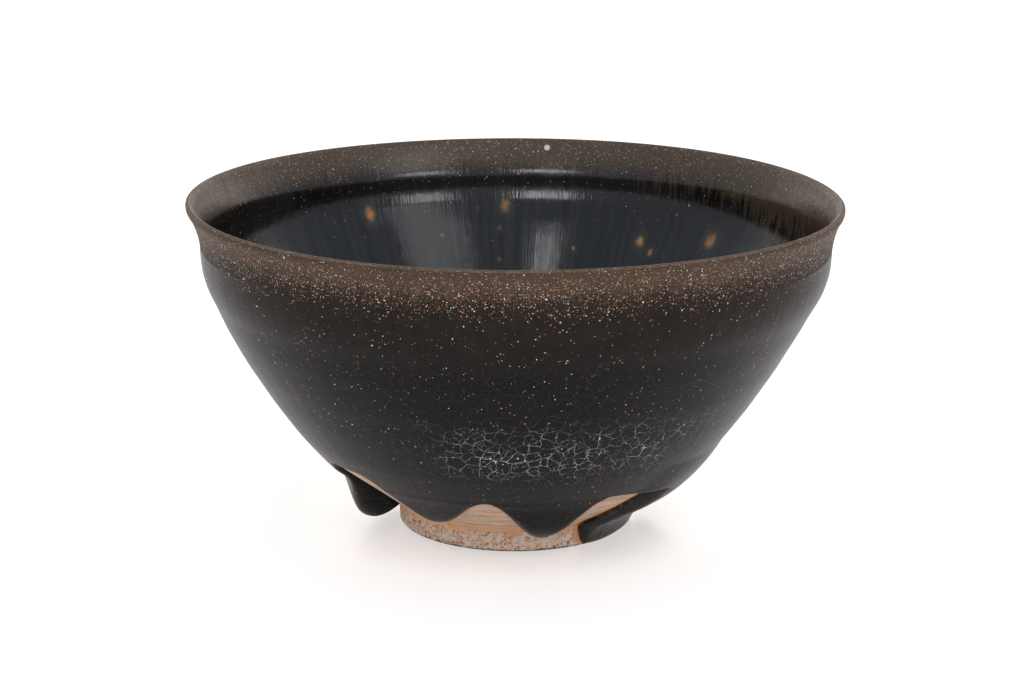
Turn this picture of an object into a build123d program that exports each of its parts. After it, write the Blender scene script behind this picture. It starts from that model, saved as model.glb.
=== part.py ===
from build123d import *
import os
from math import atan2, cos, radians, sin, sqrt

# A conical stoneware tea bowl with an indented lip, a turned foot ring and a thick dark glaze.
# The glaze is poured over the whole bowl, runs thin over the lip and stops above the foot in heavy drips.
# Frame: millimetres, +Z up, origin at the centre of the circle that the foot stands on.
# Azimuths are degrees about +Z from -Y, the front, and grow towards +X, the right-hand side.

# ---- driving dimensions ----
rim_radius = 62.0  # outermost point of the glazed lip
bowl_height = 63.0  # top of the glazed lip
foot_radius = 22.0  # outside of the foot ring
foot_height = 4.4  # where the foot ring meets the underside of the bowl
foot_wall = 4.4  # width of the ring that the bowl stands on
foot_recess = 3.2  # depth of the hollow turned into the foot
foot_bevel = 0.8  # bevel on the ring's outer bottom edge
foot_undercut = 0.6  # slope of the hollow's wall
recess_fillet = 1.6
edge_round = 0.45  # rounded end of the coat at the cut above the foot

# ---- stations on the glazed faces: radius, height, lean from vertical in degrees, glaze thickness ----
ridge = (rim_radius - 25.4, 12.7, 39.0, 1.00)  # the knife cut above the foot, where the coat stops
flank = (rim_radius - 13.95, 28.7, 31.6, 0.80)
shoulder = (rim_radius - 2.95, bowl_height - 13.8, 22.8, 0.65)
neck = (rim_radius - 2.05, bowl_height - 8.2, 5.0, 0.50)  # narrowest line of the indented lip
under_lip = (rim_radius - 0.55, bowl_height - 2.2, 20.0, 0.40)

in_lip = (rim_radius - 2.15, bowl_height - 1.5, 33.0, 0.40)
in_neck = (rim_radius - 4.50, bowl_height - 7.7, 6.0, 0.50)
in_bend = (rim_radius - 4.90, bowl_height - 10.2, 10.7, 0.55)
in_shoulder = (rim_radius - 6.40, bowl_height - 14.1, 25.0, 0.60)
in_flank = (rim_radius - 17.60, 31.7, 36.8, 0.70)
in_well = (rim_radius - 32.0, 17.2, 51.0, 0.85)
well_centre = (0.0, 9.0, 90.0, 1.70)  # the glaze pools here

lip_side = (rim_radius, bowl_height - 0.95)  # widest point of the lip
lip_crest = (rim_radius - 0.8, bowl_height)
clay_lip_side = (rim_radius - 0.38, bowl_height - 1.05)
clay_lip_crest = (rim_radius - 0.85, bowl_height - 0.38)

# ---- drips: azimuth, radius of the bulb, distance up the underside from the foot to the drip's tip ----
drips = {
    "glaze_drip_left": (-72.0, 6.5, 2.2),
    "glaze_drip_front_left": (-30.5, 6.2, 3.6),
    "glaze_drip_front": (11.0, 6.9, 1.9),
    "glaze_drip_back_right": (116.0, 6.3, 3.2),
    "glaze_drip_back": (156.0, 6.8, 2.1),
    "glaze_drip_back_left": (-163.0, 6.0, 4.0),
    "glaze_drip_left_rear": (-119.0, 6.4, 2.8),
}
bulb_sink = 1.5  # depth of the bulb's centre inside the clay
root_radius = 5.2  # the root swells out of the coat's edge above the bulb
root_sink = 3.6
root_run = 13.2

# ---- the run, a broad tongue of glaze that goes on down over the foot ring ----
run_start, run_end = 35.0, 96.0  # azimuths of its two sides
run_top = (ridge[0] - 0.1, ridge[1] + 0.25)  # just inside the coat
run_middle = (26.6, 5.1)
run_toe = (22.6, 0.5)
run_root = (foot_radius - 1, foot_height + 1)  # inside the clay, and cut away by it


def inset(station, share=1.0):
    """The point under a station, at a share of the glaze thickness from the glazed face into the clay."""
    radius, height, lean, thickness = station
    depth = thickness * share
    return (radius - depth * cos(radians(lean)), height + depth * sin(radians(lean)))


def raised(station):
    """The point of the clay under an inner station, where the clay lies outside and below the glaze."""
    radius, height, lean, thickness = station
    return (radius + thickness * cos(radians(lean)), height - thickness * sin(radians(lean)))


def face_point(station):
    return station[:2]


def upward(station):
    """The direction in which a wall climbs at a station."""
    return (sin(radians(station[2])), cos(radians(station[2])))


def downward(station):
    return (-sin(radians(station[2])), -cos(radians(station[2])))


def outer_wall(place):
    """The outside from the ridge up to the neck: one long arc, then the turn into the neck."""
    ThreePointArc(place(ridge), place(flank), place(shoulder))
    Spline(place(shoulder), place(neck), tangents=(upward(shoulder), upward(neck)))


def outer_lip(place):
    """The outside from the neck up to just under the lip."""
    Spline(place(neck), place(under_lip), tangents=(upward(neck), upward(under_lip)))


def lip_edge(start, side, crest, end):
    """Over the lip, from the outside to the inside."""
    Spline(start, side, crest, end, tangents=(upward(under_lip), downward(in_lip)))


def inner_lip(place):
    """The inside from the lip down to the inner neck."""
    Spline(place(in_lip), place(in_neck), tangents=(downward(in_lip), downward(in_neck)))


def inner_wall(place):
    """The inside from the inner neck down the wall to the middle of the well."""
    Spline(
        place(in_neck),
        place(in_bend),
        place(in_shoulder),
        tangents=(downward(in_neck), downward(in_shoulder)),
    )
    ThreePointArc(place(in_shoulder), place(in_flank), place(in_well))
    Spline(place(in_well), place(well_centre), tangents=(downward(in_well), (-1, 0)))


def radial_plane(azimuth):
    """The upright plane through the axis at an azimuth. Its x is the radius and its y the height."""
    return Plane.XZ.rotated((0, 0, azimuth - 90))


# The clay: thrown in one piece, with the foot turned from the same lump.
with BuildPart() as clay_body:
    with BuildSketch(Plane.XZ):
        with BuildLine():
            Polyline(
                (0, foot_recess),
                (foot_radius - foot_wall - foot_undercut, foot_recess),
                (foot_radius - foot_wall, 0),
                (foot_radius - foot_bevel, 0),
                (foot_radius, foot_bevel),
                (foot_radius, foot_height),
                inset(ridge),
            )
            outer_wall(inset)
            outer_lip(inset)
            lip_edge(inset(under_lip), clay_lip_side, clay_lip_crest, raised(in_lip))
            inner_lip(raised)
            inner_wall(raised)
            Line(raised(well_centre), (0, foot_recess))
        make_face()
    revolve(axis=Axis.Z)
    recess_corner = clay_body.edges().filter_by(GeomType.CIRCLE).group_by(SortBy.RADIUS)[0]
    fillet(recess_corner, radius=recess_fillet)
clay_body.part.label = "clay_body"

# The glaze on the outside, from the ridge up to the neck.
with BuildPart() as outer_glaze:
    with BuildSketch(Plane.XZ):
        with BuildLine():
            Line(inset(ridge), face_point(ridge))
            outer_wall(face_point)
            Line(face_point(neck), inset(neck))
            outer_wall(inset)
        make_face()
    revolve(axis=Axis.Z)
    stop_edge = outer_glaze.edges().filter_by(GeomType.CIRCLE).group_by(Axis.Z)[0]
    fillet(stop_edge, radius=edge_round)
outer_glaze.part.label = "outer_glaze"

# The starved brown glaze over the lip, from neck to neck.
with BuildPart() as lip_glaze:
    with BuildSketch(Plane.XZ):
        with BuildLine():
            Line(inset(neck), face_point(neck))
            outer_lip(face_point)
            lip_edge(face_point(under_lip), lip_side, lip_crest, face_point(in_lip))
            inner_lip(face_point)
            Line(face_point(in_neck), raised(in_neck))
            outer_lip(inset)
            lip_edge(inset(under_lip), clay_lip_side, clay_lip_crest, raised(in_lip))
            inner_lip(raised)
        make_face()
    revolve(axis=Axis.Z)
lip_glaze.part.label = "lip_glaze"

# The glaze inside, which thickens into a pool at the bottom of the well.
with BuildPart() as inner_glaze:
    with BuildSketch(Plane.XZ):
        with BuildLine():
            Line(raised(in_neck), face_point(in_neck))
            inner_wall(face_point)
            Line(face_point(well_centre), raised(well_centre))
            inner_wall(raised)
        make_face()
    revolve(axis=Axis.Z)
inner_glaze.part.label = "inner_glaze"

# The run over the foot: a hollow fillet between the underside and the ring.
with BuildPart() as foot_run:
    with BuildSketch(radial_plane(run_start)):
        with BuildLine():
            ThreePointArc(run_top, run_middle, run_toe)
            Polyline(run_toe, (run_root[0], run_toe[1]), run_root, inset(ridge, 1.5), run_top)
        make_face()
    revolve(axis=Axis.Z, revolution_arc=run_end - run_start)
    add(clay_body.part, mode=Mode.SUBTRACT)
    add(outer_glaze.part, mode=Mode.SUBTRACT)
foot_run.part.label = "glaze_foot_run"


underside_width = inset(ridge)[0] - foot_radius
underside_rise = inset(ridge)[1] - foot_height
underside_slope = atan2(underside_rise, underside_width)


past_ridge = 1.8  # the underside's cone goes on past the ridge, so that it clears the whole of every bulb

with BuildPart() as above_underside:
    with Locations((0, 0, foot_height)):
        Cone(
            foot_radius,
            foot_radius + past_ridge * underside_width,
            past_ridge * underside_rise,
            align=(Align.CENTER, Align.CENTER, Align.MIN),
        )


def under_clay(azimuth, run, sink):
    """The point at a distance up the underside from the foot, and at a depth inside the clay."""
    radius = foot_radius + run * cos(underside_slope) - sink * sin(underside_slope)
    height = foot_height + run * sin(underside_slope) + sink * cos(underside_slope)
    return radial_plane(azimuth).x_dir * radius + Vector(0, 0, height)


def glaze_drip(name, azimuth, bulb_radius, tip_run):
    """One drip: the outside of a ball sunk in the underside, and of a smaller one that joins it to the coat."""
    bulb_run = tip_run + sqrt(bulb_radius**2 - bulb_sink**2)
    with BuildPart() as drip:
        with Locations(under_clay(azimuth, bulb_run, bulb_sink)):
            Sphere(bulb_radius)
        with Locations(under_clay(azimuth, root_run, root_sink)):
            Sphere(root_radius)
        add(above_underside.part, mode=Mode.SUBTRACT)
        add(clay_body.part, mode=Mode.SUBTRACT)
        add(outer_glaze.part, mode=Mode.SUBTRACT)
    drip.part.label = name
    return drip.part


pieces = [clay_body.part, outer_glaze.part, lip_glaze.part, inner_glaze.part, foot_run.part]
pieces += [glaze_drip(name, *sizes) for name, sizes in drips.items()]

os.makedirs("parts", exist_ok=True)
for piece in pieces:
    export_step(piece, f"parts/{piece.label}.step")
    print(piece.label, len(piece.solids()), "solids", round(piece.volume, 1), "mm3", piece.bounding_box().size)
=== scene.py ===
from math import cos, pi, radians, sin, tau

import bmesh
import bpy
import numpy as np
from mathutils import Matrix, Vector, kdtree


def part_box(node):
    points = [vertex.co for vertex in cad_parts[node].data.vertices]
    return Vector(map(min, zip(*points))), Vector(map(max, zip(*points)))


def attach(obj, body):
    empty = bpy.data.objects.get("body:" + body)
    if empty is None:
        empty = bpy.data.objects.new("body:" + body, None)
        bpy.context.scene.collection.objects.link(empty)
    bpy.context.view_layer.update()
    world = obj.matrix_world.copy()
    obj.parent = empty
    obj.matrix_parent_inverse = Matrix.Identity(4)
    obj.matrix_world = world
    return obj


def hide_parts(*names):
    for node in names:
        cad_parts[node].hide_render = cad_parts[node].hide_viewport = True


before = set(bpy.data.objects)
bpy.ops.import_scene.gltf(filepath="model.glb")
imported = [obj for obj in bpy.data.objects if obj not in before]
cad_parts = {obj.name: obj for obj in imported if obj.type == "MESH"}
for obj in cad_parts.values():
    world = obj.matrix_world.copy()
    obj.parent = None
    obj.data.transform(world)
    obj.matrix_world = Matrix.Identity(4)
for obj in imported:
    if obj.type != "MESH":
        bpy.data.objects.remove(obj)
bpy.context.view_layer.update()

# A conical tea bowl in a thick dark glaze. Lengths below are millimetres; meshes are written in metres.
# Azimuths are degrees about +Z from -Y, the front, and grow towards +X.
MM = 0.001

# ---- sizes that the frame gives ----
RIM_RADIUS, _, RIM_Z = np.array(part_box("lip_glaze")[1]) / MM
NECK_Z = (np.array(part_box("outer_glaze")[1]) / MM)[2]  # the top of the outside coat
FOOT_RADIUS = RIM_RADIUS - 40.0
FOOT_Z = 4.4  # where the foot ring meets the underside
FOOT_WALL = 4.4  # width of the ring that the bowl stands on
FOOT_RECESS = 3.2  # depth of the hollow under the foot
SEAM_LAP = 0.12  # hidden faces of the glaze lie this far inside the clay


# ---- curves ----

def curve_through(points, spacing):
    """Evenly spaced points along a smooth curve through a few given ones."""
    p = np.array(points, float)
    t = np.concatenate([[0.0], np.cumsum(np.linalg.norm(np.diff(p, axis=0), axis=1))])
    slope = np.gradient(p, t, axis=0, edge_order=2 if len(p) > 2 else 1)
    fine = np.linspace(0, t[-1], 60 * len(p))
    k = np.clip(np.searchsorted(t, fine, side="right") - 1, 0, len(p) - 2)
    span = (t[k + 1] - t[k])[:, None]
    u = (fine - t[k])[:, None] / span
    curve = (
        (2 * u**3 - 3 * u**2 + 1) * p[k]
        + (u**3 - 2 * u**2 + u) * span * slope[k]
        + (3 * u**2 - 2 * u**3) * p[k + 1]
        + (u**3 - u**2) * span * slope[k + 1]
    )
    return evenly(curve, spacing)


def run_length(path):
    """Distance from the start of a path to each of its points."""
    return np.concatenate([[0.0], np.cumsum(np.linalg.norm(np.diff(path, axis=0), axis=1))])


def at_length(path, where):
    """Points of a path at given distances along it."""
    along = run_length(path)
    return np.stack([np.interp(where, along, path[:, i]) for i in range(path.shape[1])], axis=-1)


def evenly(path, spacing):
    """The path again, with its points evenly spaced."""
    total = run_length(path)[-1]
    return at_length(path, np.linspace(0, total, max(2, int(round(total / spacing)) + 1)))


def path_normals(path, blur=0.0):
    """Unit normals on the right of the direction of travel, optionally blurred along the path, in mm."""
    tangent = np.gradient(path, run_length(path), axis=0)
    normal = np.stack([tangent[:, 1], -tangent[:, 0]], axis=-1)
    if blur:
        along = run_length(path)
        weight = np.exp(-0.5 * ((along[:, None] - along[None, :]) / blur) ** 2)
        normal = weight @ normal
    return normal / np.linalg.norm(normal, axis=1, keepdims=True)


def smooth(x, low, high):
    """0 below low, 1 above high, and an S-curve between."""
    t = np.clip((np.asarray(x, float) - low) / (high - low), 0, 1)
    return t * t * (3 - 2 * t)


def smoother(t):
    """An S-curve from 0 to 1 whose ends are flat."""
    t = np.clip(t, 0, 1)
    return t**3 * (10 - 15 * t + 6 * t * t)


# ---- the bowl's section: radius, height ----

neck_outside = (RIM_RADIUS - 2.6, NECK_Z)
neck_inside = (RIM_RADIUS - 4.38, NECK_Z + 0.5)
ridge_outside = (RIM_RADIUS - 25.9, RIM_Z - 49.4)

OUTSIDE = [  # from the neck down to the ridge, the knife cut above the foot
    neck_outside,
    (RIM_RADIUS - 2.65, RIM_Z - 10.0),
    (RIM_RADIUS - 2.85, RIM_Z - 12.2),
    (RIM_RADIUS - 3.65, RIM_Z - 15.0),
    (RIM_RADIUS - 5.55, RIM_Z - 19.0),
    (RIM_RADIUS - 9.5, RIM_Z - 26.6),
    (RIM_RADIUS - 14.5, RIM_Z - 34.8),
    (RIM_RADIUS - 20.3, RIM_Z - 43.0),
    ridge_outside,
]
LIP = [  # over the lip, from neck to neck
    neck_outside,
    (RIM_RADIUS - 2.00, RIM_Z - 5.0),
    (RIM_RADIUS - 0.95, RIM_Z - 2.2),
    (RIM_RADIUS - 0.28, RIM_Z - 1.0),
    (RIM_RADIUS - 0.30, RIM_Z - 0.26),
    (RIM_RADIUS - 0.85, RIM_Z + 0.06),
    (RIM_RADIUS - 1.50, RIM_Z - 0.42),
    (RIM_RADIUS - 2.45, RIM_Z - 2.0),
    (RIM_RADIUS - 3.75, RIM_Z - 5.0),
    (RIM_RADIUS - 4.20, RIM_Z - 6.4),
    neck_inside,
]
INSIDE = [  # from the neck down the wall to the middle of the well
    neck_inside,
    (RIM_RADIUS - 4.44, RIM_Z - 9.0),
    (RIM_RADIUS - 4.58, RIM_Z - 10.1),
    (RIM_RADIUS - 4.78, RIM_Z - 11.1),
    (RIM_RADIUS - 5.06, RIM_Z - 12.1),
    (RIM_RADIUS - 5.90, RIM_Z - 14.0),
    (RIM_RADIUS - 11.2, RIM_Z - 22.6),
    (RIM_RADIUS - 17.6, RIM_Z - 31.4),
    (RIM_RADIUS - 24.6, RIM_Z - 39.6),
    (RIM_RADIUS - 32.0, RIM_Z - 45.9),
    (RIM_RADIUS - 42.0, RIM_Z - 51.2),
    (RIM_RADIUS - 52.0, RIM_Z - 53.6),
    (0.0, RIM_Z - 54.1),
]
STEP = 0.25  # spacing of the working sections
outside_face = curve_through(OUTSIDE, STEP)
lip_face = curve_through(LIP, 0.1)
inside_face = curve_through(INSIDE, STEP)
# The coat is thicker low down, outside and in.
outside_thickness = 0.5 + 0.6 * smooth(run_length(outside_face), 0, 45)
inside_thickness = 0.5 + 1.1 * smooth(run_length(inside_face), 5, 95)


def rounded_corner(before, corner, after, radius, count=14):
    """Points of the arc of a given radius that rounds a corner between two straight runs."""
    before, corner, after = (np.array(p, float) for p in (before, corner, after))
    a = (before - corner) / np.linalg.norm(before - corner)
    b = (after - corner) / np.linalg.norm(after - corner)
    half = np.arccos(np.clip(a @ b, -1, 1)) / 2
    centre = corner + (a + b) / np.linalg.norm(a + b) * radius / sin(half)
    start = corner + a * radius / np.tan(half) - centre
    end = corner + b * radius / np.tan(half) - centre
    turn = pi - 2 * half
    blend = np.linspace(0, 1, count)[:, None]
    return centre + (np.sin((1 - blend) * turn) * start + np.sin(blend * turn) * end) / sin(turn)


# The clay face under the outside glaze, and on over the bare underside and down the foot ring.
clay_wall = outside_face + path_normals(outside_face) * outside_thickness[:, None]
clay_ridge = tuple(clay_wall[-1])
foot_corner = (FOOT_RADIUS, FOOT_Z)
foot_edge = (FOOT_RADIUS - 0.1, 0.0)
clay_outside = np.concatenate([
    clay_wall,
    np.linspace(clay_ridge, rounded_corner(clay_ridge, foot_corner, foot_edge, 1.3)[0], 40)[1:],
    rounded_corner(clay_ridge, foot_corner, foot_edge, 1.3)[1:],
    [foot_edge],
])
clay_outside = evenly(clay_outside, 0.05)
clay_along = run_length(clay_outside)
RIDGE_AT = run_length(clay_wall)[-1]
clay_normal = -path_normals(clay_outside, blur=1.6)

# The outside of the run, which fills the corner between the underside and the foot ring. It leaves the
# coat's face RUN_STEPS steps above the ridge.
RUN_STEPS = 30
RUN_FACE = [
    tuple(outside_face[-RUN_STEPS]),
    (FOOT_RADIUS + 14.2, FOOT_Z + 8.1),
    (FOOT_RADIUS + 11.3, FOOT_Z + 5.4),
    (FOOT_RADIUS + 7.9, FOOT_Z + 3.0),
    (FOOT_RADIUS + 5.2, FOOT_Z + 1.4),
    (FOOT_RADIUS + 2.9, FOOT_Z - 0.3),
    (FOOT_RADIUS + 1.5, FOOT_Z - 2.0),
    (FOOT_RADIUS + 0.8, FOOT_Z - 3.4),
    (FOOT_RADIUS + 0.45, FOOT_Z - 4.2),
]
run_face = curve_through(RUN_FACE, 0.05)
RUN_FROM = -RUN_STEPS * STEP  # the same place, in mm along the clay from the ridge


# ---- where the coat ends ----

# Drips: azimuth, the distance from the ridge down the underside to the tip, how heavy the drip is, between
# which distances below the ridge it swells, how slim its left and right sides are, and how blunt its tip is.
# The coat's edge rises to an arch between neighbours: azimuth, and how far under the ridge it stays. The
# azimuths run once round the bowl, from the right-hand end of the run to its left-hand end.
TIP, TIP_Y, WEIGHT, SWELL_FROM, SWELL_TO, LEFT_SLIM, RIGHT_SLIM, BLUNT = range(8)  # the columns of DRIPS
DRIPS = [
    (-244.0, 12.6, 3.0, -1.5, 9.0, 0.75, 0.75, 1.0),
    (-204.0, 14.2, 3.8, -1.5, 9.0, 0.75, 0.75, 1.0),
    (-163.0, 10.8, 2.2, -1.5, 9.0, 0.75, 0.75, 1.0),
    (-124.0, 13.2, 3.2, -1.5, 9.0, 0.75, 0.75, 1.0),
    (-74.0, 15.6, 5.0, 2.0, 12.0, 0.85, 3.20, 1.18),
    (-29.3, 9.9, 1.5, -1.5, 9.0, 1.00, 0.75, 1.0),
    (10.2, 12.8, 2.6, -1.5, 9.0, 0.75, 0.75, 1.0),
]
ARCHES = [(-263, 0.7), (-225, 0.5), (-183, 0.3), (-142, 0.8), (-101, 0.3), (-49, -3.4), (-7.5, 0.2)]
ARCHES += [(30, 0.1)]
ROLL_RADIUS = 3.0  # the widest that a free edge is rolled, where the glaze is not a heavy drip
HEAVY_ROLL = 5.0  # the same, where it is a heavy drip
WEDGE_LEFT = 51.0  # azimuths where the free edges of coat and run meet, at the seam between them
WEDGE_RIGHT = ARCHES[0][0] + 360.0
WEDGE_FADE = 14.0  # degrees over which the coat takes on the run's section beside them
SEAM_Y = 1.5  # the seam between coat and run, under the ridge
TOE_Y = clay_along[-1] - RIDGE_AT - 0.2

# The free edges of the run: azimuth, and the distance below the ridge.
LEFT_TOE = (36.5, TOE_Y - 0.1)
RIGHT_TOE = (97.0, TOE_Y - 0.5)
RUN_LEFT = [(WEDGE_LEFT, SEAM_Y), (49.5, 5.0), (46.8, 8.2), (43.2, 11.0), (38.4, 13.4), (34.0, 15.2)]
RUN_LEFT += [(33.4, 17.4), LEFT_TOE]
RUN_TOE = [LEFT_TOE, (50.0, TOE_Y), (64.0, TOE_Y - 0.15), (80.0, TOE_Y), (92.0, TOE_Y - 0.2), RIGHT_TOE]
RUN_RIGHT = [(WEDGE_RIGHT, SEAM_Y), (98.5, 4.5), (100.5, 9.0), (101.0, 13.0), (99.5, 16.5), RIGHT_TOE]
EDGE_RADIUS = 30.0  # azimuths are turned into lengths at this radius when lines are spaced out


def coat_edge(azimuth):
    """How far below the ridge the coat ends, in mm along the clay. Azimuths start at WEDGE_RIGHT - 360."""
    edge = np.full_like(azimuth, SEAM_Y)
    for (left, left_y), drip, (right, right_y) in zip(ARCHES, DRIPS, ARCHES[1:]):
        sides = (left, left_y, drip[LEFT_SLIM]), (right, right_y, drip[RIGHT_SLIM])
        for side, side_y, slim in sides:
            share = (azimuth - side) / (drip[TIP] - side)
            wave = smoother(np.clip(share * drip[BLUNT], 0, 1) ** slim)
            inside = (share >= 0) & (share <= 1)
            edge = np.where(inside, side_y + (drip[TIP_Y] - side_y) * wave, edge)
    left, left_y = ARCHES[-1]
    last = (azimuth > left) & (azimuth < WEDGE_LEFT)
    return np.where(last, left_y + (SEAM_Y - left_y) * smooth(azimuth, left, WEDGE_LEFT), edge)


def clay_at(y):
    """The clay's section and normal at a distance y below the ridge, along the clay."""
    where = np.clip(RIDGE_AT + y, 0, clay_along[-1])
    point = np.stack([np.interp(where, clay_along, clay_outside[:, i]) for i in (0, 1)], axis=-1)
    normal = np.stack([np.interp(where, clay_along, clay_normal[:, i]) for i in (0, 1)], axis=-1)
    return point, normal


def in_space(section, azimuth):
    """A section's radius and height turned to an azimuth in degrees."""
    a = np.radians(azimuth)
    return np.stack([section[..., 0] * np.sin(a), -section[..., 0] * np.cos(a), section[..., 1]], axis=-1)


def free_edge():
    """The whole edge of the glaze on the clay, round every drip and round the run, as points in space."""
    azimuth = np.linspace(WEDGE_RIGHT - 360, WEDGE_LEFT, 9000)
    lines = [np.stack([azimuth, coat_edge(azimuth)], axis=-1)]
    lines += [edge_line(points, 700) for points in (RUN_LEFT, RUN_TOE, RUN_RIGHT)]
    line = np.concatenate(lines)
    return in_space(clay_at(line[:, 1])[0], line[:, 0])


def edge_line(points, count):
    """Evenly spaced azimuths and distances along an edge given as a few points."""
    scale = np.array([radians(EDGE_RADIUS), 1.0])
    curve = curve_through(np.array(points) * scale, 0.05)
    return at_length(curve, np.linspace(0, run_length(curve)[-1], count)) / scale


edge_points = free_edge()
edge_tree = kdtree.KDTree(len(edge_points))
for index, point in enumerate(edge_points):
    edge_tree.insert(point, index)
edge_tree.balance()


def distance_to_edge(points):
    """How far each point lies from the nearest free edge."""
    flat = points.reshape(-1, 3)
    return np.array([edge_tree.find(p)[2] for p in flat]).reshape(points.shape[:-1])


def drip_value(azimuth, column):
    """One column of DRIPS at any azimuth, level across each drip's middle and eased in between."""
    table = np.array(DRIPS + [DRIPS[0]])
    tips, values = table[:, TIP], table[:, column]
    tips[-1] += 360
    turned = (azimuth - tips[0]) % 360 + tips[0]
    k = np.clip(np.searchsorted(tips, turned, side="right") - 1, 0, len(tips) - 2)
    share = smoother((turned - tips[k]) / (tips[k + 1] - tips[k]))
    return values[k] + (values[k + 1] - values[k]) * share


def glaze_face(azimuth, y, run_share):
    """The outside of the glaze over the clay at (azimuth, y): rolled at its free edge, heavy in the drips,
    and a hollow fillet in the run. run_share is 1 where the surface is the run's."""
    clay, normal = clay_at(y)
    thickness = np.interp(RIDGE_AT + y, run_length(outside_face), outside_thickness)
    weight = drip_value(azimuth, WEIGHT)
    swell_from, swell_to = drip_value(azimuth, SWELL_FROM), drip_value(azimuth, SWELL_TO)
    thickness = thickness + weight * smooth(y, swell_from, swell_to)
    heavy = normal * thickness[..., None]
    run_end = clay_along[-1] - RIDGE_AT
    share = np.clip((y - RUN_FROM) / (run_end - RUN_FROM), 0, 1) * run_length(run_face)[-1]
    hollow = at_length(run_face, share) - clay
    hollow = np.where((y < RUN_FROM)[..., None], heavy, hollow)
    full = heavy + (hollow - heavy) * run_share[..., None]
    widest = ROLL_RADIUS + (HEAVY_ROLL - ROLL_RADIUS) * smooth(weight, 3.0, 5.0)
    reach = np.minimum(np.linalg.norm(full, axis=-1), widest)
    near = np.clip(distance_to_edge(in_space(clay, azimuth)) / reach, 0, 1)
    roll = np.sqrt(1 - (1 - near) ** 2)
    return in_space(clay + full * roll[..., None], azimuth)


def on_clay(azimuth, y):
    """A point just inside the clay's face."""
    clay, normal = clay_at(y)
    return in_space(clay - normal * SEAM_LAP, azimuth)


# ---- the bowl as it was thrown ----

RIM_DROP = 0.0025  # the rim leans down to the right, mm per mm
OVAL = 0.0010  # the rim is this much out of round
rng = np.random.default_rng(20)
THROW_PHASES = rng.uniform(0, tau, 6)


def thrown(points):
    """The small unevenness of a hand-thrown bowl, the same for clay and glaze: a rim a little out of level
    and out of round, faint throwing rings, and a slight lean of the whole wall."""
    x, y, z = points[..., 0], points[..., 1], points[..., 2]
    radius = np.maximum(np.hypot(x, y), 1e-6)
    azimuth = np.arctan2(x, -y)
    high = smooth(z, 6, RIM_Z)
    grow = OVAL * high * np.cos(2 * azimuth + THROW_PHASES[0])
    grow = grow + 0.0005 * high * np.sin(3 * azimuth + THROW_PHASES[1])
    rings = 0.022 * np.sin(z * tau / 7.1 + 0.6 * np.sin(azimuth + THROW_PHASES[2]) + THROW_PHASES[3])
    rings = rings + 0.005 * np.sin(z * tau / 3.3 + azimuth + THROW_PHASES[4])
    band = smooth(z, 14, 20) * (1 - smooth(z, 50, 56))
    wide = 1 + grow + rings * band / radius
    lift = -RIM_DROP * x * high + 0.12 * high * np.sin(3 * azimuth + THROW_PHASES[5])
    sway = 0.5 * smooth(z, 36, 52) - 0.22 * smooth(z, 8, 14) - 0.15 * smooth(z, 55, 62)
    return np.stack([x * wide + sway, y * wide, z + lift], axis=-1)


# ---- meshes ----

def link_mesh(name, points, faces):
    """A mesh object from points in mm, before the unevenness of throwing is added."""
    mesh = bpy.data.meshes.new(name)
    mesh.from_pydata((thrown(points) * MM).tolist(), [], faces)
    mesh.validate()
    mesh.update()
    mesh.polygons.foreach_set("use_smooth", [True] * len(mesh.polygons))
    piece = bpy.data.objects.new(name, mesh)
    bpy.context.scene.collection.objects.link(piece)
    return piece


def ring_faces(rows, columns, closed_rows):
    """Quads between rings of points round the bowl. closed_rows also joins the last ring to the first."""
    faces = []
    last = rows if closed_rows else rows - 1
    for i in range(last):
        a, b = i * columns, (i + 1) % rows * columns
        faces += [(a + j, a + (j + 1) % columns, b + (j + 1) % columns, b + j) for j in range(columns)]
    return faces


def tube_piece(name, rings):
    """A closed shell from rings that run down one face and back up the other."""
    rows, columns = rings.shape[:2]
    return link_mesh(name, rings.reshape(-1, 3), ring_faces(rows, columns, True))


def dome_piece(name, rings, first_pole, last_pole):
    """A closed shell whose rings start round one pole and end round another."""
    rows, columns = rings.shape[:2]
    points = np.concatenate([rings.reshape(-1, 3), [first_pole, last_pole]])
    first, last = rows * columns, rows * columns + 1
    faces = ring_faces(rows, columns, False)
    end = (rows - 1) * columns
    faces += [(first, (j + 1) % columns, j) for j in range(columns)]
    faces += [(last, end + j, end + (j + 1) % columns) for j in range(columns)]
    return link_mesh(name, points, faces)


def pillow_piece(name, top, bottom):
    """A closed patch from two grids of the same size, stitched round their four sides."""
    rows, columns = top.shape[:2]
    half = rows * columns
    index = np.arange(half).reshape(rows, columns)
    faces = []
    for i in range(rows - 1):
        for j in range(columns - 1):
            quad = (index[i, j], index[i, j + 1], index[i + 1, j + 1], index[i + 1, j])
            faces.append(tuple(int(k) for k in quad))
            faces.append(tuple(int(k) + half for k in reversed(quad)))
    border = list(index[0, :-1]) + list(index[:-1, -1]) + list(index[-1, :0:-1]) + list(index[:0:-1, 0])
    for a, b in zip(border, border[1:] + border[:1]):
        faces.append((int(b), int(a), int(a) + half, int(b) + half))
    return link_mesh(name, np.concatenate([top.reshape(-1, 3), bottom.reshape(-1, 3)]), faces)


def note(piece, name, values):
    """Gives each point of a piece a number that its material reads."""
    numbers = piece.data.attributes.new(name, "FLOAT", "POINT").data
    numbers.foreach_set("value", np.asarray(values, np.float32).ravel())


def sharpen(piece):
    """Keeps the seams and cut edges crisp, so that each smooth face takes its normals from itself alone."""
    piece.data.set_sharp_from_angle(angle=radians(35.0))


def revolved(section, azimuths):
    """Rings of a section at each of its points."""
    points = np.repeat(section[:, None, :], len(azimuths), axis=1)
    return in_space(points, np.tile(azimuths, (len(section), 1)))


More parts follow.
